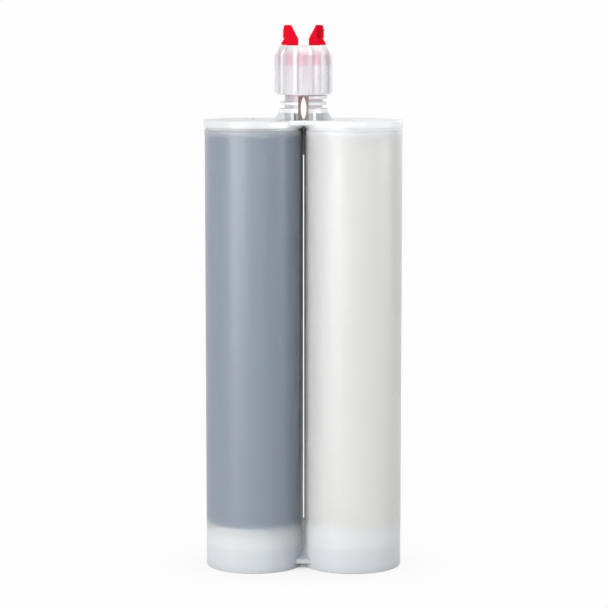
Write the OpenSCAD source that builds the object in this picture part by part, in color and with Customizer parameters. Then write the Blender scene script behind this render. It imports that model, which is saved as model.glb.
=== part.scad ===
// Two component adhesive cartridge: two parallel barrels moulded in one piece,
// a twin outlet neck, a closure plug with finger tabs and the nut that holds it.
// Millimetres. The origin lies on the base plane, midway between the barrels.
// +X runs from the left barrel to the right one, +Z towards the outlet neck.

/* [Barrels] */
// Outside diameter of each barrel
barrel_d = 42.3; // [38:0.1:46]
// Wall of each barrel
barrel_wall = 1.7; // [1.2:0.1:2.2]
// Free space between the two barrels
barrel_gap = 0.5; // [0.4:0.1:1.6]
// Length of the barrels from the rear edge to the front face
body_len = 194.5; // [150:0.5:220]
// Thickness of the closed front end
end_wall = 5; // [4.5:0.1:6]
// Radius inside the corner of the front end
end_corner = 1.5; // [0.8:0.1:2]
// Rounding of the rear edge
rear_round = 0.5; // [0.2:0.1:0.7]
// Depth of the wider lead-in at the rear of each barrel
lead_in_depth = 3.5; // [2.5:0.1:3.7]
// How much wider the lead-in is than the bore, on the radius
lead_in_step = 0.2; // [0.15:0.05:0.5]
// Height over which the lead-in narrows to the bore
lead_in_taper = 1; // [0.4:0.1:1]

/* [Front rim] */
// Height of the rim at the front end
rim_h = 3.3; // [2.5:0.1:4]
// How far the rim stands proud of the barrel
rim_proud = 0.45; // [0.2:0.05:0.8]
// Rounding of the upper edge of the rim
rim_round = 0.5; // [0.3:0.1:1.5]
// Height of the groove under the rim
groove_h = 1.2; // [0.8:0.1:1.6]
// Depth of the groove
groove_depth = 0.25; // [0.1:0.05:0.4]
// Height of the shoulder under the groove
shoulder_h = 1.3; // [0.8:0.1:2]
// How far the shoulder stands proud of the barrel
shoulder_proud = 0.13; // [0.05:0.01:0.2]
// Diameter of the two gate marks on the front face
gate_d = 2.4; // [1.5:0.1:3]
// Height of the gate marks
gate_h = 0.5; // [0.3:0.1:0.8]

/* [Webs between the barrels] */
// Depth of the thin webs, front to back
web_depth = 5; // [3:0.5:7]
// Length of the upper web, from the front face down
upper_web_len = 15; // [10:0.1:25]
// Height of the lower web above the base
lower_web_top = 19.7; // [12:0.1:25]
// Depth of the deck that joins the rims, front to back
deck_depth = 29.6; // [24:0.1:32]
// Thickness of the deck
deck_t = 2; // [1.5:0.1:3]
// Depth of the sloped bridge at the rear, front to back
bridge_depth = 22; // [16:0.1:24]
// Height of the underside of the bridge above the base
bridge_low = 2.2; // [1:0.1:2.5]
// Thickness of the bridge at its outer edges
bridge_edge_t = 1.8; // [1.2:0.1:3]
// How much higher the bridge is at its middle
bridge_rise = 3; // [1:0.1:5]

/* [Neck] */
// Outside diameter of the neck
neck_d = 16.3; // [15.5:0.1:17]
// Height of the neck above the front face
neck_h = 22.6; // [21:0.1:26]
// Diameter that both outlets share
outlet_d = 13.4; // [12.6:0.1:13.8]
// Distance from the neck's axis to the flat side of each outlet
outlet_flat = 3.2; // [3:0.1:3.8]
// Width of the slot that parts the lower neck into two halves
slot_w = 4.4; // [3.6:0.1:4.8]
// Height of the slot above the front face
slot_h = 10.1; // [9:0.1:10.2]
// Thickness of the web that is left at the middle of the slot
slot_web = 8; // [6:0.5:10]
// Width of the lens shaped opening through that web
lens_w = 2.6; // [1.5:0.1:3]
// Height of the whole lens
lens_h = 10.4; // [9:0.1:11]
// Height of the middle of the lens above the front face
lens_z = 4.7; // [4:0.1:5]
// Diameter of the collar
collar_d = 20.8; // [19.5:0.1:22]
// Height of the underside of the collar above the front face
collar_z = 2.9; // [2.4:0.1:3.2]
// Thickness of the collar
collar_t = 1.9; // [1.4:0.1:2.2]
// Width of the gussets under the collar
gusset_t = 1.2; // [0.8:0.1:1.8]
// Distance of the front and back gussets from the middle
gusset_x = 4.7; // [4:0.1:5.5]
// Reach of the side gussets from the neck's axis
gusset_reach = 12.8; // [11.5:0.1:14.5]

/* [Neck ridges] */
// Diameter over the ridges
ridge_d = 20.3; // [19.4:0.1:21]
// Thickness of a ridge at its crest
ridge_t = 1.3; // [0.8:0.1:1.4]
// Height of the lowest, full ridge above the front face
ring_z = 6.95; // [6.6:0.05:7.1]
// Rise from each half ridge to the next one on the other half
ridge_step = 2.65; // [2.5:0.05:2.8]

/* [Pistons] */
// Height of the piston's rear edge above the base
piston_rear = 5; // [4.5:0.1:6]
// Height of the middle of the piston's front face above its rear edge
piston_len = 12.4; // [12:0.1:16]
// How far the sealing lip rises above the front face
lip_rise = 1.7; // [1:0.1:2.5]
// Thickness of the face plate
piston_face_t = 3.2; // [2:0.1:3.6]
// Wall of the piston's skirt
skirt_t = 1.5; // [1.2:0.1:2.5]
// How far the skirt stands back from the barrel between its rings
skirt_relief = 0.7; // [0.4:0.1:1]
// Height of the ring that bears on the barrel behind the lip
ring_h = 4.8; // [3:0.1:5.5]
// Running clearance of the rings in the barrel, on the radius
piston_fit = 0.06; // [0.02:0.01:0.1]
// Number of ribs behind the face plate
rib_count = 8; // [4:1:10]
// Thickness of those ribs
rib_t = 1.2; // [0.8:0.1:1.6]
// Height of those ribs
rib_h = 3.2; // [2:0.1:3.6]

/* [Plug] */
// Height of the plug's body
plug_h = 7.5; // [6.5:0.1:9]
// Wall of the plug's body
plug_wall = 1.2; // [0.9:0.1:1.6]
// Thickness of the plug's floor
plug_floor = 1.6; // [1.2:0.1:2.5]
// Length of the two stoppers that reach down the outlets
stopper_len = 14.6; // [8:0.1:18]
// Clearance of the stoppers in the outlets
stopper_fit = 0.1; // [0.05:0.01:0.2]
// Height of the tabs above the nut
tab_h = 8.6; // [7.5:0.05:11]
// Depth of the tabs, front to back
tab_depth = 5; // [4:0.1:5.4]
// Thickness of the grip at the outer side of each tab
grip_t = 1.8; // [1.4:0.1:3]
// Distance from the axis to the inner face of a tab
tab_in = 2.25; // [1.8:0.05:2.8]
// Distance from the axis to the tip of a tab's foot
foot_out = 9.5; // [9:0.05:10]
// Distance from the axis to the outer edge of the grip
grip_out = 8.5; // [8.2:0.05:9]

/* [Nut] */
// Clearance between the nut's bore and the ridges, on the radius
nut_fit = 0.2; // [0.1:0.05:0.4]
// Wall of the nut between its ribs
nut_wall = 0.95; // [0.7:0.05:1.4]
// Height of the nut's lower edge above the front face
nut_stand = 10.8; // [10.6:0.1:12]
// Thickness of the nut's top
nut_top_t = 1.2; // [0.9:0.1:1.6]
// Radius of the flat part of the nut's top
nut_flat_r = 9.9; // [9:0.1:10]
// Height of the sloping shoulder
nut_cone_h = 4; // [3.4:0.1:5]
// Number of ribs round the nut
nut_ribs = 12; // [8:1:16]
// Width of a rib
nut_rib_w = 1.45; // [0.8:0.05:1.6]
// Height of a rib over the wall
nut_rib_h = 1.5; // [0.6:0.05:1.7]
// How far the ribs stop short of the lower edge
nut_lip = 0.6; // [0.2:0.1:1.5]
// Turn of the ribs from the middle of the side
nut_rib_turn = 14; // [0:1:30]

/* [Hidden] */
$fn = 96;

// Small gaps between pieces that touch or nearly touch
fill_gap = 0.05;
seat_gap = 0.1;
turn_gap = 0.2;
// How far a cutting shape runs past the face that it cuts
over = 1;

barrel_r = barrel_d / 2;
bore_r = barrel_r - barrel_wall;
lead_in_r = bore_r + lead_in_step;
axis_x = (barrel_d + barrel_gap) / 2;
end_z = body_len - end_wall;
rim_r = barrel_r + rim_proud;
rim_z = body_len - rim_h;
groove_z = rim_z - groove_h;
shoulder_z = groove_z - shoulder_h;
gate_x = axis_x + gate_d / 2;

neck_r = neck_d / 2;
outlet_r = outlet_d / 2;
neck_top = body_len + neck_h;
ridge_r = ridge_d / 2;
collar_r = collar_d / 2;
lens_r = (lens_h * lens_h + lens_w * lens_w) / (4 * lens_w);

piston_r = bore_r - piston_fit;
skirt_r = bore_r - skirt_relief;
piston_front = piston_rear + piston_len;
lip_tip = piston_front + lip_rise;
lip_foot_r = piston_r - 1.5;
lip_tip_r = piston_r - 0.7;

nut_bore_r = ridge_r + nut_fit;
nut_wall_r = nut_bore_r + nut_wall;
nut_rib_r = nut_wall_r + nut_rib_h;
nut_low = body_len + nut_stand;
plug_low = neck_top + seat_gap;
plug_top = plug_low + plug_h;
nut_inner_top = plug_top + turn_gap;
nut_top = nut_inner_top + nut_top_t;
nut_cone_z = nut_top - nut_cone_h;
// The inside of the shoulder keeps the same slope as the outside
nut_slope = (nut_wall_r - nut_flat_r) / nut_cone_h;
nut_inner_cone_z = nut_cone_z - 0.4;
nut_inner_flat_r = nut_bore_r - nut_slope * (nut_inner_top - nut_inner_cone_z);

plug_r = nut_bore_r - 0.35;
plug_cone_z = nut_inner_cone_z - turn_gap;
plug_flat_r = nut_inner_flat_r - turn_gap;
stopper_low = plug_low - stopper_len;
tab_low = nut_top + turn_gap * 0.75;
stem_out = 7;
hole_r = norm([stem_out, tab_depth / 2]) + turn_gap * 1.6;

// Points along an arc round a centre, from one angle to another
function arc(centre, r, from, to, steps = 5) =
    [for (i = [0:steps]) let (a = from + (to - from) * i / steps) centre + r * [cos(a), sin(a)]];

module at_barrel(side) {
    translate([side * axis_x, 0, 0]) children();
}

// The section of one outlet: a circle cut off flat on the side that faces the other outlet
module outlet_section(r, flat) {
    intersection() {
        circle(r);
        translate([flat, -r]) square([r, 2 * r]);
    }
}

module barrel_outside() {
    rotate_extrude() polygon(concat(
        [[0, 0]],
        arc([barrel_r - rear_round, rear_round], rear_round, -90, 0, 3),
        [[barrel_r, shoulder_z - shoulder_h]],
        [[barrel_r + shoulder_proud, shoulder_z], [barrel_r + shoulder_proud, groove_z - 0.2]],
        [[barrel_r - groove_depth, groove_z + 0.1], [barrel_r - groove_depth, rim_z]],
        arc([rim_r - rim_round / 2, rim_z + rim_round / 2], rim_round / 2, -90, 0, 3),
        arc([rim_r - rim_round, body_len - rim_round], rim_round, 0, 90),
        [[0, body_len]]
    ));
}

module barrel_bore() {
    rotate_extrude() polygon(concat(
        [[0, -over], [lead_in_r, -over], [lead_in_r, lead_in_depth], [bore_r, lead_in_depth + lead_in_taper]],
        arc([bore_r - end_corner, end_z - end_corner], end_corner, 0, 90),
        [[0, end_z]]
    ));
}

// Thin webs close the gap between the barrels near both ends. They run half into each wall.
module webs() {
    web_w = barrel_gap + barrel_wall;
    translate([-web_w / 2, -web_depth / 2, body_len - upper_web_len])
        cube([web_w, web_depth, upper_web_len - deck_t / 2]);
    translate([-web_w / 2, -web_depth / 2, bridge_low + bridge_edge_t])
        cube([web_w, web_depth, lower_web_top - bridge_low - bridge_edge_t]);
}

// A flat deck joins the two rims at the front end
module deck() {
    deck_w = 2 * (axis_x - sqrt(barrel_r * barrel_r - deck_depth * deck_depth / 4)) + 2;
    translate([-deck_w / 2, -deck_depth / 2, body_len - deck_t]) cube([deck_w, deck_depth, deck_t]);
}

// A bridge with a roof shaped top ties the barrels together at the rear
module bridge() {
    half = bridge_depth / 2;
    ridge_half = web_depth / 4;
    edge_top = bridge_low + bridge_edge_t;
    middle_top = edge_top + bridge_rise;
    bridge_w = 2 * (axis_x - sqrt(barrel_r * barrel_r - half * half)) + barrel_wall;
    translate([-bridge_w / 2, 0, 0]) rotate([90, 0, 90]) linear_extrude(bridge_w) polygon([
        [-half, bridge_low], [half, bridge_low], [half, edge_top],
        [ridge_half, middle_top], [-ridge_half, middle_top], [-half, edge_top]
    ]);
}

module gate_marks() {
    for (side = [-1, 1])
        translate([side * gate_x, 0, body_len - over]) cylinder(d = gate_d, h = gate_h + over);
}

module collar() {
    translate([0, 0, body_len + collar_z]) cylinder(r = collar_r, h = collar_t);
}

module gussets() {
    gusset_h = collar_z + over;
    for (side = [-1, 1], face = [-1, 1])
        translate([side * gusset_x - gusset_t / 2, face < 0 ? -collar_r + 0.3 : 0, body_len - over / 2])
            cube([gusset_t, collar_r - 0.3, gusset_h]);
    translate([0, gusset_t / 2, body_len]) rotate([90, 0, 0]) linear_extrude(gusset_t) polygon([
        [-gusset_reach, -over / 2], [gusset_reach, -over / 2], [gusset_reach, 0],
        [collar_r - 0.1, collar_z + collar_t / 4], [0.1 - collar_r, collar_z + collar_t / 4], [-gusset_reach, 0]
    ]);
}

// A ridge with sloping flanks, centred on its own height
module ridge(r) {
    flank = 0.15;
    depth = ridge_r - neck_r;
    rotate_extrude() polygon([
        [0, -ridge_t / 2 - flank], [r - depth, -ridge_t / 2 - flank], [r, -ridge_t / 2],
        [r, ridge_t / 2], [r - depth, ridge_t / 2 + flank], [0, ridge_t / 2 + flank]
    ]);
}

// Half ridges stand by turns on the right and the left half of the neck. Each is
// a crescent: a circle set off to its own side, so that its ends run out into the neck.
module half_ridges() {
    runout = (ridge_r - neck_r) * 0.95;
    count = floor((neck_h - ring_z - ridge_t) / ridge_step);
    for (i = [1:count])
        translate([(i % 2 == 1 ? 1 : -1) * runout, 0, body_len + ring_z + i * ridge_step]) ridge(ridge_r - runout);
}

module neck_outside() {
    tip = 0.5;
    translate([0, 0, body_len - over]) cylinder(r = neck_r, h = neck_h + over - tip);
    translate([0, 0, neck_top - tip]) cylinder(r1 = neck_r, r2 = neck_r - tip, h = tip);
    collar();
    gussets();
    translate([0, 0, body_len + ring_z]) ridge(ridge_r);
    half_ridges();
}

// The slot leaves a thin web at the middle, and a lens shaped opening goes through that web
module neck_slot() {
    for (face = [-1, 1])
        translate([-slot_w / 2, face < 0 ? -gusset_reach : slot_web / 2, body_len])
            cube([slot_w, gusset_reach - slot_web / 2, slot_h]);
    intersection() {
        translate([0, gusset_reach, body_len + lens_z]) rotate([90, 0, 0]) linear_extrude(2 * gusset_reach)
            intersection_for (side = [-1, 1]) translate([side * (lens_r - lens_w / 2), 0]) circle(lens_r);
        translate([-slot_w, -gusset_reach, body_len]) cube([2 * slot_w, 2 * gusset_reach, slot_h]);
    }
}

module outlets() {
    low = end_z - end_corner;
    for (turn = [0, 180])
        rotate(turn) translate([0, 0, low])
            linear_extrude(neck_top - low + over) outlet_section(outlet_r, outlet_flat);
}

module cartridge_body() {
    color("#eceef1") difference() {
        union() {
            for (side = [-1, 1]) at_barrel(side) barrel_outside();
            webs();
            deck();
            bridge();
            gate_marks();
            difference() {
                neck_outside();
                neck_slot();
            }
        }
        for (side = [-1, 1]) at_barrel(side) barrel_bore();
        outlets();
    }
}

// The filling takes the shape of the space that it fills: over the piston's dished
// face, up to the front end, and up its own outlet to the stopper
module filling(side) {
    r = bore_r - fill_gap;
    top = end_z - fill_gap;
    column_low = end_z - end_corner + fill_gap;
    at_barrel(side) rotate_extrude() polygon(concat(
        [[0, piston_front + fill_gap], [lip_foot_r - fill_gap, piston_front + fill_gap]],
        [[lip_tip_r - fill_gap, lip_tip + fill_gap], [r, lip_tip + fill_gap]],
        arc([bore_r - end_corner, end_z - end_corner], end_corner - fill_gap, 0, 90),
        [[0, top]]
    ));
    rotate(side < 0 ? 180 : 0) translate([0, 0, column_low])
        linear_extrude(stopper_low - seat_gap - column_low)
            outlet_section(outlet_r - fill_gap, outlet_flat + fill_gap);
}

module paste_grey() {
    color("#8996a8") filling(-1);
}

module paste_white() {
    color("#efefec") filling(1);
}

// A dished front face with a thin sealing lip, a second ring behind it, a guide ring at
// the rear edge and a hollow back with ribs round a boss, which the ram pushes on
module piston() {
    back = piston_front - piston_face_t;
    hollow_r = skirt_r - skirt_t;
    boss_r = 4;
    guide_h = 2;
    ring_top = piston_front - 1.4;
    ring_low = ring_top - ring_h;
    groove_r = piston_r - 0.4;
    difference() {
        rotate_extrude() polygon([
            [0, piston_rear], [piston_r - 0.3, piston_rear], [piston_r, piston_rear + 0.3],
            [piston_r, piston_rear + guide_h], [skirt_r, piston_rear + guide_h + 0.6],
            [skirt_r, ring_low - 0.6], [piston_r, ring_low], [piston_r, ring_top], [groove_r, ring_top + 0.4],
            [groove_r, piston_front - 0.7], [piston_r, piston_front - 0.3], [piston_r, lip_tip],
            [lip_tip_r, lip_tip], [lip_foot_r, piston_front], [0, piston_front]
        ]);
        translate([0, 0, piston_rear - over]) cylinder(r = hollow_r, h = back - piston_rear + over);
    }
    translate([0, 0, back - rib_h]) cylinder(r = boss_r, h = rib_h + over);
    for (i = [0:rib_count - 1])
        rotate(i * 360 / rib_count) translate([boss_r / 2, -rib_t / 2, back - rib_h])
            cube([hollow_r - boss_r / 2 + skirt_t / 2, rib_t, rib_h + over]);
}

module piston_left() {
    color("white") at_barrel(-1) piston();
}

module piston_right() {
    color("white") at_barrel(1) piston();
}

// Outline of one tab, seen from the front: a stem that passes through the nut's hole, a
// foot that hooks over the hole's edge, a waist, and a slanting inner shoulder
module tab_outline() {
    waist_h = tab_h * 0.32;
    shoulder_up = tab_h * 0.32;
    foot_h = tab_h * 0.1;
    polygon([
        [tab_in, plug_low + plug_floor / 2], [stem_out, plug_low + plug_floor / 2], [stem_out, tab_low],
        [foot_out, tab_low], [foot_out, tab_low + foot_h],
        [grip_out - 0.15, tab_low + waist_h], [grip_out, tab_low + waist_h + 0.7],
        [grip_out, tab_low + tab_h - 0.8], [grip_out - 0.15, tab_low + tab_h - 0.35],
        [grip_out - 0.5, tab_low + tab_h - 0.1], [tab_in + 3.35, tab_low + tab_h],
        [tab_in + 2.85, tab_low + tab_h - 0.4], [tab_in, tab_low + shoulder_up]
    ]);
}

// The hollow on both faces of a tab: straight over the grip, and scooped out below it
module grip_hollow() {
    scoop_r = 3.4;
    scoop_z = tab_low + scoop_r + 1.05;
    grip_in = grip_out - 2.85;
    depth = tab_depth;
    for (face = [-1, 1])
        translate([0, face < 0 ? -grip_t / 2 : grip_t / 2 + depth, 0]) rotate([90, 0, 0]) linear_extrude(depth) {
            translate([grip_in + scoop_r, scoop_z]) circle(scoop_r);
            translate([grip_in, scoop_z]) square([2 * scoop_r, tab_h]);
        }
}

module tab() {
    tooth_r = 0.55;
    tooth_pitch = 1.3;
    difference() {
        translate([0, tab_depth / 2, 0]) rotate([90, 0, 0]) linear_extrude(tab_depth) tab_outline();
        grip_hollow();
    }
    for (i = [0:2])
        translate([grip_out - 0.1, grip_t / 2, tab_low + tab_h - 2.4 - i * tooth_pitch])
            rotate([90, 0, 0]) cylinder(r = tooth_r, h = grip_t, $fn = 32);
}

// A cup that closes the neck, with a stopper for each outlet under its floor
module plug() {
    stopper_tip = 0.8;
    color("#ee0f2b") {
        difference() {
            rotate_extrude() polygon([
                [0, plug_low], [plug_r, plug_low], [plug_r, plug_cone_z], [plug_flat_r, plug_top], [0, plug_top]
            ]);
            translate([0, 0, plug_low + plug_floor]) rotate_extrude() polygon([
                [0, 0], [plug_r - plug_wall, 0], [plug_r - plug_wall, plug_cone_z - plug_low - plug_floor],
                [plug_flat_r - plug_wall, plug_top - plug_low - plug_floor],
                [plug_flat_r - plug_wall, plug_h], [0, plug_h]
            ]);
        }
        for (turn = [0, 180]) rotate(turn) {
            tab();
            translate([0, 0, stopper_low + stopper_tip]) linear_extrude(stopper_len - stopper_tip + plug_floor / 2)
                outlet_section(outlet_r - stopper_fit, outlet_flat + stopper_fit);
            translate([0, 0, stopper_low]) linear_extrude(stopper_tip + over)
                outlet_section(outlet_r - stopper_fit - 0.5, outlet_flat + stopper_fit + 0.5);
        }
    }
}

module nut_envelope(r, low) {
    rotate_extrude() polygon([
        [0, low], [r, low], [r, nut_cone_z], [nut_flat_r, nut_top], [0, nut_top]
    ]);
}

module nut() {
    color("#f1e9f2") difference() {
        union() {
            nut_envelope(nut_wall_r, nut_low);
            intersection() {
                nut_envelope(nut_rib_r, nut_low + nut_lip);
                for (i = [0:nut_ribs - 1])
                    rotate(nut_rib_turn + i * 360 / nut_ribs)
                        translate([nut_bore_r - nut_wall, -nut_rib_w / 2, nut_low])
                            cube([2 * nut_rib_h + 2 * nut_wall, nut_rib_w, nut_top - nut_low]);
            }
        }
        rotate_extrude() polygon([
            [0, nut_low - over], [nut_bore_r, nut_low - over], [nut_bore_r, nut_inner_cone_z],
            [nut_inner_flat_r, nut_inner_top], [0, nut_inner_top]
        ]);
        translate([0, 0, nut_inner_top - over]) cylinder(r = hole_r, h = nut_top_t + 2 * over);
    }
}

cartridge_body();
paste_grey();
paste_white();
piston_left();
piston_right();
plug();
nut();
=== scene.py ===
import math

import bpy
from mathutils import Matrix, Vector


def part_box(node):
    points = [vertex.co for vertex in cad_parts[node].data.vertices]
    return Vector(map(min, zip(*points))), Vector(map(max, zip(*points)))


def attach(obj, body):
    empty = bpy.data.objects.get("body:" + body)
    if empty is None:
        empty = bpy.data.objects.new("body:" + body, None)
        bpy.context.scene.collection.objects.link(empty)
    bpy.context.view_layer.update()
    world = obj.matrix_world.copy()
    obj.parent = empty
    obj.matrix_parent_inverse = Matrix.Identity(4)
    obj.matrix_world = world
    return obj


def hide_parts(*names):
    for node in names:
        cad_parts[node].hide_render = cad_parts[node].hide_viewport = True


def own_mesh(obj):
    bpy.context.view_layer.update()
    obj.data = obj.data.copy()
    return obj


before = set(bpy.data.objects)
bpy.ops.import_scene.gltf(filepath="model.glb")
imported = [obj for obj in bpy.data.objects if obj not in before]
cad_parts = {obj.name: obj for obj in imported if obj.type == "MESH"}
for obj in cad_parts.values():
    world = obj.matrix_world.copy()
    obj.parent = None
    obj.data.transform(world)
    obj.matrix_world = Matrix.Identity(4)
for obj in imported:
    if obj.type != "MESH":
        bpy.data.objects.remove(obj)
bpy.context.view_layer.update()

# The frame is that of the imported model: +X to the right barrel, +Y to the back, +Z up. Lengths are in
# metres where no comment says otherwise.
MM = 0.001

# The photograph's size in pixels, and the camera that was fitted to it: sensor in mm, angles in radians
IMAGE_SIZE = 608
SENSOR_WIDTH = 36.0
FOCAL_PIXELS = 2210.4
CAMERA_SIDE = 0.008
CAMERA_DISTANCE = 0.95246
CAMERA_HEIGHT = 0.22919
CAMERA_PITCH = 0.1197
CAMERA_YAW = 0.0082
CLIP_START = 0.01
CLIP_END = 50

# The two barrels
PISTON_LOW, PISTON_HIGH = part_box("piston_right")
PISTON_FIT = 0.06 * MM
WALL = 1.7 * MM
AXIS_X = (PISTON_LOW.x + PISTON_HIGH.x) / 2
BORE_RADIUS = (PISTON_HIGH.x - PISTON_LOW.x) / 2 + PISTON_FIT
BARREL_RADIUS = BORE_RADIUS + WALL
FRONT_FACE_Z = 194.5 * MM
FRONT_END_Z = FRONT_FACE_Z - 5 * MM
RIM_Z = FRONT_FACE_Z - 3.3 * MM
LIP_TIP_Z = PISTON_HIGH.z
RING_LOW_Z = 11.2 * MM

# The webs between the barrels, and the bridge at their rear end
WEB_REACH = 1.2 * MM
BRIDGE_REACH = 12 * MM
BRIDGE_TOP_Z = 20 * MM

# The neck with its outlets, and the slot between them
NECK_RADIUS = 8.15 * MM
OUTLET_RADIUS = 6.65 * MM
OUTLET_FLAT = 3.25 * MM
SLOT_REACH = 2.3 * MM
SLOT_TOP_Z = FRONT_FACE_Z + 10.2 * MM
STOPPER_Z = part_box("plug")[0].z

# The nut, where the ribs at its right side start, and the hollow in the right finger tab
NUT_WALL_RADIUS = 11.3 * MM
NUT_TOP_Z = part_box("nut")[1].z
SIDE_RIBS_X = 9 * MM
TAB_HOLLOW_Z = NUT_TOP_Z + 3.5 * MM
TAB_HOLLOW_X = 5.6 * MM
TAB_HOLLOW_REACH = 2.4 * MM

# Faces are told apart by where their corners lie, within these limits. A face that lies flat is no higher
# than the last of them.
NEAR = 0.1 * MM
NEAR_BARREL = 0.4 * MM
NEAR_BORE = 0.3 * MM
NEAR_NECK = 0.05 * MM
FLAT_HEIGHT = 0.2 * MM

# A face's normal counts as outward, to the right or upward from these shares
OUTWARD = 0.4
RIGHTWARD = 0.4
UPWARD = 0.2

# The steps round a piece of revolution and round an outlet
BARREL_STEPS = 192
DISH_STEPS = 96
OUTLET_STEPS = 48


# Materials

# A mix node's colour sockets go by number, because it has more of the same name
MIX_FACTOR, MIX_FIRST, MIX_SECOND, MIX_RESULT = 0, 6, 7, 2


def new_material(name):
    """A material with an empty node tree, its output and its Principled shader."""
    material = bpy.data.materials.new(name)
    material.use_nodes = True
    tree = material.node_tree
    tree.nodes.clear()
    output = tree.nodes.new("ShaderNodeOutputMaterial")
    shader = tree.nodes.new("ShaderNodeBsdfPrincipled")
    tree.links.new(shader.outputs["BSDF"], output.inputs["Surface"])
    return material, tree, shader


def grey(level):
    return (level, level, level)


def feed(tree, value, socket):
    """A socket takes another node's output, a colour or a number."""
    if isinstance(value, bpy.types.NodeSocket):
        tree.links.new(value, socket)
    elif isinstance(value, tuple):
        socket.default_value = (*value, 1)
    else:
        socket.default_value = value


def noise(tree, scale, detail=2.0, stretch=(1, 1, 1)):
    """Noise in object space, which is the model's frame, with a scale for each axis."""
    place = tree.nodes.new("ShaderNodeTexCoord")
    mapping = tree.nodes.new("ShaderNodeMapping")
    mapping.inputs["Scale"].default_value = stretch
    texture = tree.nodes.new("ShaderNodeTexNoise")
    texture.inputs["Scale"].default_value = scale
    texture.inputs["Detail"].default_value = detail
    tree.links.new(place.outputs["Object"], mapping.inputs["Vector"])
    tree.links.new(mapping.outputs["Vector"], texture.inputs["Vector"])
    return texture.outputs["Fac"]


def mix_colours(tree, factor, first, second, blend="MIX"):
    """Two colours mixed by a factor, where each of the three may be another node's output."""
    mix = tree.nodes.new("ShaderNodeMix")
    mix.data_type = "RGBA"
    mix.blend_type = blend
    for value, number in ((factor, MIX_FACTOR), (first, MIX_FIRST), (second, MIX_SECOND)):
        feed(tree, value, mix.inputs[number])
    return mix.outputs[MIX_RESULT]


def times(tree, first, second):
    """The product of two colours."""
    return mix_colours(tree, 1.0, first, second, "MULTIPLY")


def between(tree, factor, low, high):
    """A value that runs from low to high as the factor runs from 0 to 1."""
    span = tree.nodes.new("ShaderNodeMapRange")
    span.inputs["To Min"].default_value = low
    span.inputs["To Max"].default_value = high
    tree.links.new(factor, span.inputs["Value"])
    return span.outputs["Result"]


def set_stops(ramp, stops):
    """The stops of a ramp, as (share, colour), of which the first is at 0 and the last at 1."""
    points = ramp.color_ramp.elements
    for share, colour in stops[1:-1]:
        points.new(share).color = (*colour, 1)
    points[0].color = (*stops[0][1], 1)
    points[len(points) - 1].color = (*stops[-1][1], 1)


def along(tree, axis, stops):
    """A colour that runs along an axis of object space, from stops of (place in mm, colour)."""
    place = tree.nodes.new("ShaderNodeTexCoord")
    split = tree.nodes.new("ShaderNodeSeparateXYZ")
    share = tree.nodes.new("ShaderNodeMapRange")
    ramp = tree.nodes.new("ShaderNodeValToRGB")
    low, high = stops[0][0], stops[-1][0]
    share.inputs["From Min"].default_value = low * MM
    share.inputs["From Max"].default_value = high * MM
    set_stops(ramp, [((point - low) / (high - low), colour) for point, colour in stops])
    tree.links.new(place.outputs["Object"], split.inputs["Vector"])
    tree.links.new(split.outputs[axis], share.inputs["Value"])
    tree.links.new(share.outputs["Result"], ramp.inputs["Fac"])
    return ramp.outputs["Color"]


def add_bump(tree, shader, factor, depth, strength=1.0):
    bump = tree.nodes.new("ShaderNodeBump")
    bump.inputs["Strength"].default_value = strength
    bump.inputs["Distance"].default_value = depth
    tree.links.new(factor, bump.inputs["Height"])
    tree.links.new(bump.outputs["Normal"], shader.inputs["Normal"])


def milky_plastic(name, colours, clear, roughness, across=None):
    """Natural polypropylene: part of the light scatters back, and part goes through softened.

    The colours are stops of (height, colour), clear is one share or stops of (height, share), and across
    is stops of (x, factor or tint) on the colour, which paint light and shade from side to side. Heights
    and x are in mm.
    """
    uneven = 0.03
    material, tree, shader = new_material(name)
    cloud = mix_colours(tree, noise(tree, scale=60, detail=3.0), grey(0.98), grey(1.0))
    tint = times(tree, along(tree, "Z", colours), cloud)
    # Painted light and shade from side to side
    if across:
        tints = [(x, factor if isinstance(factor, tuple) else grey(factor)) for x, factor in across]
        tint = times(tree, tint, along(tree, "X", tints))
    if not isinstance(clear, float):
        clear = along(tree, "Z", [(height, grey(share)) for height, share in clear])
    level = between(tree, noise(tree, scale=400), roughness - uneven, roughness + uneven)
    feed(tree, tint, shader.inputs["Base Color"])
    feed(tree, clear, shader.inputs["Transmission Weight"])
    feed(tree, level, shader.inputs["Roughness"])
    shader.inputs["IOR"].default_value = 1.49
    add_bump(tree, shader, noise(tree, scale=700, detail=1.0), depth=0.004 * MM, strength=0.5)
    return material


def paste_material(name, colour, veil):
    """A smooth paste. Near its ends it is seen through more plastic, so its colour fades into the veil."""
    uneven = 0.015
    material, tree, shader = new_material(name)
    fade = tree.nodes.new("ShaderNodeAttribute")
    fade.attribute_name = "fade"
    mottle = noise(tree, scale=25, stretch=(1, 1, 0.3))
    dark = tuple(c * (1 - uneven) for c in colour)
    light = tuple(min(1, c * (1 + uneven)) for c in colour)
    body = mix_colours(tree, mottle, dark, light)
    feed(tree, mix_colours(tree, fade.outputs["Fac"], body, veil), shader.inputs["Base Color"])
    shader.inputs["Roughness"].default_value = 0.6
    add_bump(tree, shader, noise(tree, scale=300), depth=0.02 * MM)
    return material


def solid_plastic(name, dark, light, roughness, specular=0.5):
    """Opaque moulded plastic with a faint unevenness."""
    uneven = 0.04
    material, tree, shader = new_material(name)
    level = between(tree, noise(tree, scale=500), roughness - uneven, roughness + uneven)
    feed(tree, mix_colours(tree, noise(tree, scale=150), dark, light), shader.inputs["Base Color"])
    feed(tree, level, shader.inputs["Roughness"])
    shader.inputs["IOR"].default_value = 1.5
    shader.inputs["Specular IOR Level"].default_value = specular
    add_bump(tree, shader, noise(tree, scale=900), depth=0.003 * MM, strength=0.5)
    return material
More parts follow.
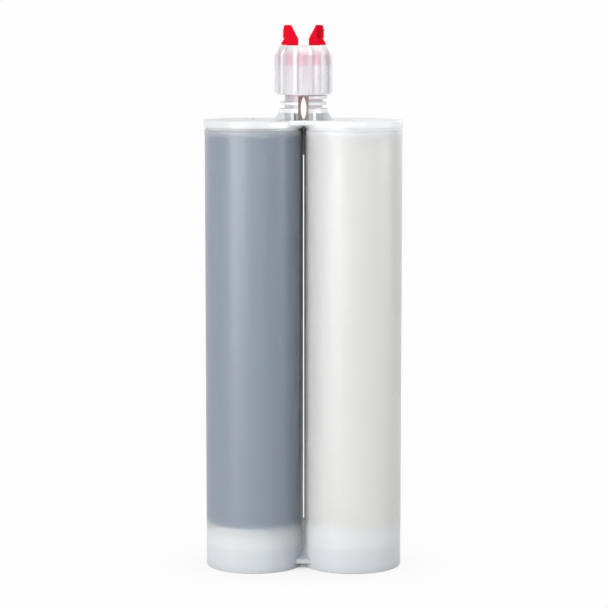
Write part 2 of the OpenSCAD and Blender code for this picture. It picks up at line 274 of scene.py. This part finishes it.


# The stops follow what lies in and behind the wall: the piston with its ring, the filling, and the thick
# front end. Towards the rear edge they darken, which is painted shade near the floor. FACE is the front
# face in mm, as the stops are.
FACE = FRONT_FACE_Z / MM
SHELL_COLOURS = [
    (0, (0.64, 0.66, 0.69)),
    (3, (0.74, 0.765, 0.80)),
    (9, (0.78, 0.80, 0.83)),
    (11.5, (0.86, 0.87, 0.885)),
    (14, (0.90, 0.91, 0.925)),
    (19, (0.975, 0.985, 0.993)),
    (30, (0.972, 0.982, 0.992)),
    (60, (0.958, 0.971, 0.984)),
    (119, (0.95, 0.965, 0.98)),
    (FACE, (0.95, 0.965, 0.98)),
]
# Painted shade on the left shell: it darkens towards its top, and darkens and turns a little bluish towards
# its right side, next to the other barrel.
LEFT_SHELL = milky_plastic(
    "left_polypropylene",
    SHELL_COLOURS[:-1] + [
        (162, (0.943, 0.959, 0.975)),
        (176, (0.938, 0.954, 0.97)),
        (187, (0.895, 0.912, 0.928)),
        (FACE, (0.90, 0.915, 0.93)),
    ],
    clear=[
        (0, 0.28),
        (11, 0.30),
        (14, 0.40),
        (17, 0.60),
        (19, 0.83),
        (FACE - 8, 0.83),
        (FACE - 5.5, 0.76),
        (FACE, 0.76),
    ],
    roughness=0.36,
    across=[
        (-43, 1.0),
        (-32, 1.0),
        (-27, (0.965, 0.975, 0.97)),
        (-22, (0.975, 0.993, 1.0)),
        (-16.6, (0.97, 0.994, 1.0)),
        (-11.4, (0.91, 0.924, 0.945)),
        (-6.2, (0.895, 0.93, 0.957)),
        (-2, (0.90, 0.93, 0.95)),
    ],
)
# Painted shade on the right shell: it darkens towards its right edge.
RIGHT_SHELL = milky_plastic(
    "right_polypropylene",
    SHELL_COLOURS,
    clear=[
        (0, 0.28),
        (11, 0.30),
        (14, 0.38),
        (18, 0.45),
        (22, 0.80),
        (FACE - 8, 0.83),
        (FACE - 5.5, 0.47),
        (FACE, 0.47),
    ],
    roughness=0.36,
    across=[(2, 1.0), (34, 1.0), (43, 0.93)],
)
# Painted light and shade on the thick plastic: the deck's top face is lighter, the band under the nut is
# darker and pink, partly from the plug that shows through, and the factors make its left darker and its
# right lighter.
THICK_SHELL = milky_plastic(
    "thick_polypropylene",
    [
        (0, (0.75, 0.76, 0.78)),
        (FACE - 3.3, (0.75, 0.76, 0.78)),
        (FACE - 1, (0.85, 0.862, 0.88)),
        (FACE - 0.2, (0.86, 0.872, 0.89)),
        (FACE - 0.05, (0.97, 0.98, 0.99)),
        (FACE + 0.1, (0.97, 0.98, 0.99)),
        (FACE + 0.7, (0.86, 0.875, 0.90)),
        (FACE + 5.5, (0.86, 0.875, 0.90)),
        (FACE + 8, (0.80, 0.815, 0.84)),
        (FACE + 9.5, (0.76, 0.70, 0.745)),
        (FACE + 12.5, (0.76, 0.70, 0.745)),
    ],
    clear=0.25,
    roughness=0.36,
    across=[
        (-43, 0.94),
        (-32, 0.88),
        (-20, 0.94),
        (-12, 1.04),
        (0, 1.05),
        (5, 1.12),
        (12, 1.13),
        (18, 1.01),
        (25, 1.09),
        (43, 1.16),
    ],
)
# Painted light: the bridge is a lighter and less clear copy of the plastic, to lift the shade between the
# barrels' rear ends.
BRIDGE_PAINTED_LIGHT = milky_plastic(
    "bridge_polypropylene_painted_light",
    [(0, (0.92, 0.94, 0.97)), (20, (0.93, 0.95, 0.98))],
    clear=0.10,
    roughness=0.4,
)
# The neck turns pink towards the nut where the plug's pins show through, and darker there as painted shade
# under the nut; the factors darken both its sides as painted shade.
NECK_SHELL = milky_plastic(
    "neck_polypropylene",
    [
        (FACE, (0.86, 0.87, 0.90)),
        (FACE + 5.5, (0.84, 0.83, 0.87)),
        (FACE + 8.5, (0.78, 0.69, 0.75)),
        (FACE + 11.5, (0.74, 0.53, 0.62)),
    ],
    clear=0.45,
    roughness=0.34,
    across=[(-8, 0.92), (0, 0.96), (8, 0.92)],
)
# Painted shade: the webs darken upwards to a dark brown, the shade in the narrow gap between the barrels.
WEB_PAINTED_SHADE = milky_plastic(
    "web_polypropylene_painted_shade",
    [
        (0, (0.95, 0.96, 0.98)),
        (12, (0.80, 0.80, 0.81)),
        (20, (0.76, 0.75, 0.74)),
        (175, (0.16, 0.14, 0.13)),
        (FACE, (0.16, 0.14, 0.13)),
    ],
    clear=0.15,
    roughness=0.4,
)
# The slot's walls turn pink upwards where the plug's pins show through, and the right wall is painted
# darker as painted shade.
SLOT_SHELL = milky_plastic(
    "slot_polypropylene",
    [(FACE, (0.85, 0.78, 0.75)), (FACE + 10, (0.84, 0.48, 0.53))],
    clear=0.20,
    roughness=0.4,
    across=[(-1, 1.0), (1, 0.62)],
)
BODY_FINISHES = (LEFT_SHELL, RIGHT_SHELL, THICK_SHELL, NECK_SHELL, WEB_PAINTED_SHADE, SLOT_SHELL, BRIDGE_PAINTED_LIGHT)

# The plug's cup shows through the upper part of the nut and tints it pink, the wall more than the ribs. The
# factors on the nut paint light and shade: its wall is darker on the left and lighter on the right.
NUT_SHELL = milky_plastic(
    "nut_polypropylene",
    [
        (206, (0.92, 0.91, 0.95)),
        (213, (0.90, 0.86, 0.91)),
        (217.2, (0.88, 0.82, 0.88)),
        (218.2, (0.88, 0.63, 0.71)),
        (221, (0.88, 0.59, 0.68)),
        (223.5, (0.96, 0.84, 0.89)),
        (224.5, (0.99, 0.97, 0.98)),
        (226, (0.995, 0.99, 0.995)),
    ],
    clear=0.40,
    roughness=0.5,
    across=[(-11, 0.84), (-6, 0.92), (0, 0.98), (5, 1.09), (11, 1.06)],
)
NUT_RIB_COLOURS = [
    (206, (0.96, 0.96, 0.985)),
    (217, (0.96, 0.94, 0.975)),
    (218, (0.95, 0.91, 0.955)),
    (221, (0.95, 0.90, 0.95)),
    (224, (0.97, 0.965, 0.975)),
]
# Painted shade on the fronts of the ribs: darker in the middle than at the sides.
NUT_RIB_SHELL = milky_plastic(
    "nut_rib_polypropylene",
    NUT_RIB_COLOURS,
    clear=0.30,
    roughness=0.34,
    across=[
        (-12.8, 0.92),
        (-9.3, 0.98),
        (-6, 0.77),
        (0, 0.80),
        (3, 0.86),
        (6, 0.82),
        (10, 0.84),
        (12.8, 0.97),
    ],
)
# Painted shade on the flanks that face the key light: darker just right of the middle.
NUT_BRIGHT_FLANK_SHELL = milky_plastic(
    "nut_bright_flank_polypropylene",
    NUT_RIB_COLOURS,
    clear=0.30,
    roughness=0.40,
    across=[
        (-12.8, 0.92),
        (-11, 0.93),
        (-8, 0.97),
        (-2, 0.97),
        (2, 0.87),
        (6, 0.84),
        (8, 0.77),
        (10, 0.98),
        (12.8, 1.0),
    ],
)
# Painted light: the flanks in shade, the ribs' sloped ends and the top get the least clear copy.
NUT_SHADED_FLANK_PAINTED_LIGHT = milky_plastic(
    "nut_shaded_flank_painted_light",
    NUT_RIB_COLOURS,
    clear=0.02,
    roughness=0.40,
)

GREY_PASTE = paste_material("grey_paste", colour=(0.118, 0.203, 0.328), veil=(0.80, 0.81, 0.83))
WHITE_PASTE = paste_material("white_paste", colour=(0.97, 0.951, 0.920), veil=(0.88, 0.88, 0.88))
PISTON_RING = solid_plastic("white_polyethylene", grey(0.90), grey(0.93), roughness=0.4)
# Painted shade: the skirt is a darker, bluer copy of the piston's plastic, for the gap between it and the
# wall.
PISTON_SKIRT_PAINTED_SHADE = solid_plastic("shaded_polyethylene", (0.80, 0.82, 0.85), (0.83, 0.85, 0.88), roughness=0.4)
RED_PLASTIC = solid_plastic(
    "red_polyethylene", (0.64, 0.001, 0.014), (0.70, 0.002, 0.022), roughness=0.28, specular=0.05
)
# Painted shade: the hollow of the right tab is a darker copy of the red plastic.
RED_RECESS_PAINTED_SHADE = solid_plastic(
    "red_polyethylene_painted_shade", (0.48, 0.001, 0.010), (0.53, 0.001, 0.014), roughness=0.34, specular=0.05
)


# Pieces

def new_piece(name, points, faces):
    """A mesh object in the scene."""
    mesh = bpy.data.meshes.new(name)
    mesh.from_pydata(points, [], faces)
    mesh.update()
    piece = bpy.data.objects.new(name, mesh)
    bpy.context.scene.collection.objects.link(piece)
    return piece


def set_materials(piece, *materials):
    piece.data.materials.clear()
    for material in materials:
        piece.data.materials.append(material)


def smooth(piece, angle=35):
    """Smooth faces, with edges sharper than the angle kept crisp."""
    for face in piece.data.polygons:
        face.use_smooth = True
    piece.data.set_sharp_from_angle(angle=math.radians(angle))


def lathe(name, profile, centre, steps):
    """A closed piece of revolution. Its profile starts and ends on the axis, as (radius, height, fade)."""
    rings, points, fades = [], [], []
    for radius, height, fade in profile:
        start = len(points)
        count = steps if radius else 1
        for i in range(count):
            turn = 2 * math.pi * i / steps
            x, y = radius * math.cos(turn), radius * math.sin(turn)
            points.append((centre[0] + x, centre[1] + y, height))
        rings.append(list(range(start, start + count)))
        fades += [fade] * count
    faces = []
    for lower, upper in zip(rings, rings[1:]):
        for i in range(steps):
            j = (i + 1) % steps
            if len(lower) == 1:
                faces.append((lower[0], upper[j], upper[i]))
            elif len(upper) == 1:
                faces.append((lower[i], lower[j], upper[0]))
            else:
                faces.append((lower[i], lower[j], upper[j], upper[i]))
    piece = new_piece(name, points, faces)
    piece.data.attributes.new("fade", "FLOAT", "POINT").data.foreach_set("value", fades)
    smooth(piece)
    return piece


def barrel_paste(name, side, material, node):
    """The filling inside one barrel.

    It reaches a little into the wall, so that it wets it. It fades towards its lower end and its upper
    edge, and most on its top.
    """
    wetting = 0.03 * MM
    lip_gap = 0.05 * MM
    corner = 1.5 * MM
    low_fade, low_share = 3.2 * MM, 0.40
    top_fade, top_share = 1.5 * MM, 0.3
    middle_share = 0.65
    steps = 8
    top = FRONT_END_Z + wetting
    radius = BORE_RADIUS + wetting
    low = LIP_TIP_Z + lip_gap
    profile = [(0, low, low_share)]
    for i in range(steps + 1):
        share = i / steps
        profile.append((radius, low + low_fade * share, low_share * (1 - share) ** 2))
    for i in range(steps + 1):
        share = i / steps
        profile.append((radius, top - corner - top_fade * (1 - share), top_share * share ** 2))
    for i in range(1, steps + 1):
        share = i / steps
        turn = math.radians(90 * share)
        point = (radius - corner + corner * math.cos(turn), top - corner + corner * math.sin(turn))
        profile.append((*point, top_share + share * (middle_share - top_share)))
    profile.append((0, top, middle_share))
    piece = lathe(name, profile, (side * AXIS_X, 0), BARREL_STEPS)
    set_materials(piece, material)
    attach(piece, "cartridge")
    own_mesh(piece)
    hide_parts(node)


def dish_paste(name, side, material, node, body):
    """The paste in the dished front face of a piston, which travels with it."""
    depth = 1.65 * MM
    rise = 0.02 * MM
    face_radius = 17.7 * MM
    brim_radius = 18.5 * MM
    face = LIP_TIP_Z - depth
    brim = LIP_TIP_Z + rise
    profile = [(0, face, 0), (face_radius, face, 0), (brim_radius, brim, 0), (0, brim, 0)]
    piece = lathe(name, profile, (side * AXIS_X, 0), DISH_STEPS)
    set_materials(piece, material)
    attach(piece, body)
    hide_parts(node)


def neck_paste(name, side, material, node):
    """The paste in one D shaped outlet, from within the filling up to the stopper."""
    overlap = 1.4 * MM
    stopper_gap = 0.1 * MM
    low, high = FRONT_END_Z - overlap, STOPPER_Z - stopper_gap
    half_turn = math.acos(OUTLET_FLAT / OUTLET_RADIUS)
    outline = []
    for i in range(OUTLET_STEPS + 1):
        turn = -half_turn + 2 * half_turn * i / OUTLET_STEPS
        outline.append((side * OUTLET_RADIUS * math.cos(turn), side * OUTLET_RADIUS * math.sin(turn)))
    count = len(outline)
    points = [(x, y, low) for x, y in outline] + [(x, y, high) for x, y in outline]
    faces = [tuple(reversed(range(count))), tuple(range(count, 2 * count))]
    faces += [(i, (i + 1) % count, count + (i + 1) % count, count + i) for i in range(count)]
    piece = new_piece(name, points, faces)
    smooth(piece)
    set_materials(piece, material)
    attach(piece, "cartridge")
    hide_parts(node)


def build_pastes():
    for side, colour, material, joint, body in (
        (-1, "grey", GREY_PASTE, "piston_left_slide", "left_piston"),
        (1, "white", WHITE_PASTE, "piston_right_slide", "right_piston"),
    ):
        slot = node = "paste_" + colour
        barrel_paste(colour + "_filling", side, material, node)
        dish_paste(colour + "_dish_filling", side, material, node, body)
        neck_paste(colour + "_neck_filling", side, material, node)


def corner_points(piece, face):
    return [piece.data.vertices[i].co for i in face.vertices]


def body_part(corners):
    """The finish of one face of the cartridge's body, as an index into BODY_FINISHES."""
    left, right, thick, neck, web, slot, bridge = range(len(BODY_FINISHES))
    low = min(c.z for c in corners)
    top = max(c.z for c in corners)
    reach = max(abs(c.x) for c in corners)
    if top < RIM_Z + NEAR:
        offsets = [math.hypot(abs(c.x) - AXIS_X, c.y) - BARREL_RADIUS for c in corners]
        on_barrel = all(abs(offset) < NEAR_BARREL for offset in offsets)
        on_bore = all(abs(offset + WALL) < NEAR_BORE for offset in offsets)
        if reach < WEB_REACH:
            return web
        if on_barrel or on_bore:
            return left if corners[0].x < 0 else right
        if top < BRIDGE_TOP_Z and reach < BRIDGE_REACH and all(offset > -NEAR for offset in offsets):
            return bridge
        return thick
    above = low > FRONT_FACE_Z - NEAR
    if above and reach < SLOT_REACH and top < SLOT_TOP_Z:
        return slot
    in_neck = all(math.hypot(c.x, c.y) < NECK_RADIUS + NEAR_NECK for c in corners)
    if above and in_neck and top - low > FLAT_HEIGHT:
        return neck
    return thick


def finish_body(piece):
    """The thin walls are clearer than the thick parts. The webs and the slot's walls are seen edge-on and
    carry painted shade, and the bridge carries painted light.
    """
    set_materials(piece, *BODY_FINISHES)
    for face in piece.data.polygons:
        face.material_index = body_part(corner_points(piece, face))
    smooth(piece)


def finish_nut(piece):
    """The ribs and the top are thick and whiter than the wall between the ribs.

    The flank that faces away from the key light, the rib's sloped end and the nut's top are the least
    clear, which paints light on them where they lie in shade, for the light that runs through a rib.
    """
    wall, rib, bright_flank, shaded_flank = range(4)
    set_materials(piece, NUT_SHELL, NUT_RIB_SHELL, NUT_BRIGHT_FLANK_SHELL, NUT_SHADED_FLANK_PAINTED_LIGHT)
    for face in piece.data.polygons:
        corners = corner_points(piece, face)
        normal = face.normal
        outward = Vector((face.center.x, face.center.y, 0)).normalized().dot(normal)
        upward = normal.z > UPWARD
        face.material_index = wall
        if max(math.hypot(c.x, c.y) for c in corners) > NUT_WALL_RADIUS + NEAR:
            shaded = upward or (normal.x > RIGHTWARD and face.center.x < SIDE_RIBS_X)
            flank = shaded_flank if shaded else bright_flank
            face.material_index = rib if outward > OUTWARD and not upward else flank
        elif min(c.z for c in corners) > NUT_TOP_Z - NEAR:
            face.material_index = shaded_flank
    smooth(piece)


def finish_piston(piece):
    """The ring presses on the wall, and the skirt stands back and shows duller through the wall, which is
    painted as a darker copy of the plastic.
    """
    set_materials(piece, PISTON_RING, PISTON_SKIRT_PAINTED_SHADE)
    for face in piece.data.polygons:
        top = max(c.z for c in corner_points(piece, face))
        face.material_index = 1 if top < RING_LOW_Z + NEAR else 0
    smooth(piece)


def finish_plug(piece):
    """The hollow of the right tab lies in its own shade, which is painted as a deeper red."""
    set_materials(piece, RED_PLASTIC, RED_RECESS_PAINTED_SHADE)
    for face in piece.data.polygons:
        corners = corner_points(piece, face)
        above = max(c.z for c in corners) > TAB_HOLLOW_Z
        outside = min(c.x for c in corners) > TAB_HOLLOW_X
        middle = max(abs(c.y) for c in corners) < TAB_HOLLOW_REACH
        face.material_index = 1 if above and outside and middle else 0
    smooth(piece)


def finish_nodes():
    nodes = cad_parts
    finish_body(nodes["cartridge_body"])
    finish_nut(nodes["nut"])
    for name in ("piston_left", "piston_right"):
        finish_piston(nodes[name])
    finish_plug(nodes["plug"])


# Camera, floor and light

# How bright the backdrop looks, and how much light it gives
BACKGROUND = 0.985
AMBIENT = 0.22

# The floor: half its side, its colour, how far the soft shadow reaches, and the floor's brightness as stops
# of (share of open sky, level)
FLOOR_REACH = 6.0
FLOOR_COLOUR = grey(0.85)
SHADOW_REACH = 0.04
SHADOW_SAMPLES = 16
FLOOR_LEVELS = ((0, 0.2), (0.1, 0.45), (0.25, 0.78), (0.5, 0.93), (0.8, 0.972), (1, BACKGROUND))

# The soft boxes: name, turn and rise in degrees, width, height, and power in watts
LIGHT_DISTANCE = 1.5
LIGHT_MIDDLE = 0.11
LIGHT_HEIGHT = 0.7
SOFT_BOXES = (
    ("key", -45, 8, 0.5, LIGHT_HEIGHT, 11.6),
    ("front_key", -25, 8, 0.5, LIGHT_HEIGHT, 7.6),
    ("front_fill", 10, 8, 0.5, LIGHT_HEIGHT, 1.5),
    ("right_fill", 70, 8, 0.5, LIGHT_HEIGHT, 4.0),
    ("right_side", 88, 8, 0.5, LIGHT_HEIGHT, 4.4),
    ("top", 10, 78, 0.8, 0.8, 3.8),
    ("back_right", 142, 14, 0.8, LIGHT_HEIGHT, 3.4),
    ("back_left", -142, 14, 0.8, LIGHT_HEIGHT, 2.2),
    ("back", 180, 45, 0.8, 0.8, 5.0),
)


def make_camera():
    forward = Vector((
        -math.sin(CAMERA_YAW) * math.cos(CAMERA_PITCH),
        math.cos(CAMERA_YAW) * math.cos(CAMERA_PITCH),
        -math.sin(CAMERA_PITCH),
    ))
    data = bpy.data.cameras.new("camera")
    data.sensor_width = SENSOR_WIDTH
    data.lens = FOCAL_PIXELS * SENSOR_WIDTH / IMAGE_SIZE
    data.clip_start = CLIP_START
    data.clip_end = CLIP_END
    camera = bpy.data.objects.new("camera", data)
    camera.location = (CAMERA_SIDE, -CAMERA_DISTANCE, CAMERA_HEIGHT)
    camera.rotation_mode = "QUATERNION"
    camera.rotation_quaternion = forward.to_track_quat("-Z", "Y")
    bpy.context.scene.collection.objects.link(camera)
    bpy.context.scene.camera = camera


def maths(tree, operation, first, second):
    """One operation on two values, each a number or another node's output."""
    node = tree.nodes.new("ShaderNodeMath")
    node.operation = operation
    feed(tree, first, node.inputs[0])
    feed(tree, second, node.inputs[1])
    return node.outputs[0]


def seen_directly(tree):
    """1 for rays that see the background: from the camera, off gloss and through clear plastic.

    A ray that a matt surface has scattered gathers light, and doesn't count, also where it then leaves
    through clear plastic.
    """
    no_scatter_yet = 0.5
    path = tree.nodes.new("ShaderNodeLightPath")
    seen = path.outputs["Is Camera Ray"]
    for kind in ("Is Glossy Ray", "Is Transmission Ray"):
        seen = maths(tree, "MAXIMUM", seen, path.outputs[kind])
    unscattered = maths(tree, "LESS_THAN", path.outputs["Diffuse Depth"], no_scatter_yet)
    return maths(tree, "MULTIPLY", seen, unscattered)


def make_world():
    world = bpy.data.worlds.new("studio")
    bpy.context.scene.world = world
    world.use_nodes = True
    tree = world.node_tree
    tree.nodes.clear()
    output = tree.nodes.new("ShaderNodeOutputWorld")
    back = tree.nodes.new("ShaderNodeBackground")
    back.inputs["Color"].default_value = (1, 1, 1, 1)
    feed(tree, between(tree, seen_directly(tree), AMBIENT, BACKGROUND), back.inputs["Strength"])
    tree.links.new(back.outputs["Background"], output.inputs["Surface"])


def make_floor():
    """A pale floor that keeps a soft shadow of the object and is otherwise as bright as the backdrop."""
    corners = [(x * FLOOR_REACH, y * FLOOR_REACH, 0) for x, y in ((-1, -1), (1, -1), (1, 1), (-1, 1))]
    floor = new_piece("floor", corners, [(0, 1, 2, 3)])
    material = bpy.data.materials.new("pale_floor")
    material.use_nodes = True
    tree = material.node_tree
    tree.nodes.clear()
    output = tree.nodes.new("ShaderNodeOutputMaterial")
    plain = tree.nodes.new("ShaderNodeBsdfDiffuse")
    feed(tree, FLOOR_COLOUR, plain.inputs["Color"])
    occlusion = tree.nodes.new("ShaderNodeAmbientOcclusion")
    occlusion.samples = SHADOW_SAMPLES
    occlusion.inputs["Distance"].default_value = SHADOW_REACH
    shade = tree.nodes.new("ShaderNodeValToRGB")
    set_stops(shade, [(share, grey(level)) for share, level in FLOOR_LEVELS])
    glow = tree.nodes.new("ShaderNodeEmission")
    mix = tree.nodes.new("ShaderNodeMixShader")
    tree.links.new(occlusion.outputs["AO"], shade.inputs["Fac"])
    tree.links.new(shade.outputs["Color"], glow.inputs["Color"])
    tree.links.new(seen_directly(tree), mix.inputs["Fac"])
    tree.links.new(plain.outputs["BSDF"], mix.inputs[1])
    tree.links.new(glow.outputs["Emission"], mix.inputs[2])
    tree.links.new(mix.outputs["Shader"], output.inputs["Surface"])
    set_materials(floor, material)


def soft_box(name, turn, rise, width, height, power, middle=LIGHT_MIDDLE, spread=180):
    """A soft box that faces a height on the axis. It is turned from the front towards +X, and raised."""
    data = bpy.data.lights.new(name, "AREA")
    data.shape = "RECTANGLE"
    data.size = width
    data.size_y = height
    data.spread = math.radians(spread)
    data.energy = power
    light = bpy.data.objects.new(name, data)
    turn, rise = math.radians(turn), math.radians(rise)
    away = Vector((math.sin(turn) * math.cos(rise), -math.cos(turn) * math.cos(rise), math.sin(rise)))
    light.location = Vector((0, 0, middle)) + LIGHT_DISTANCE * away
    light.rotation_mode = "QUATERNION"
    light.rotation_quaternion = (-away).to_track_quat("-Z", "Y")
    bpy.context.scene.collection.objects.link(light)


def make_lights():
    """The soft boxes, and a narrow beam on the neck and the nut."""
    for settings in SOFT_BOXES:
        soft_box(*settings)
    soft_box("neck_fill", 58, 10, 0.12, 0.06, 0.018, middle=0.235, spread=4)


finish_nodes()
build_pastes()
make_camera()
make_world()
make_floor()
make_lights()
bpy.context.scene.view_settings.view_transform = "Standard"
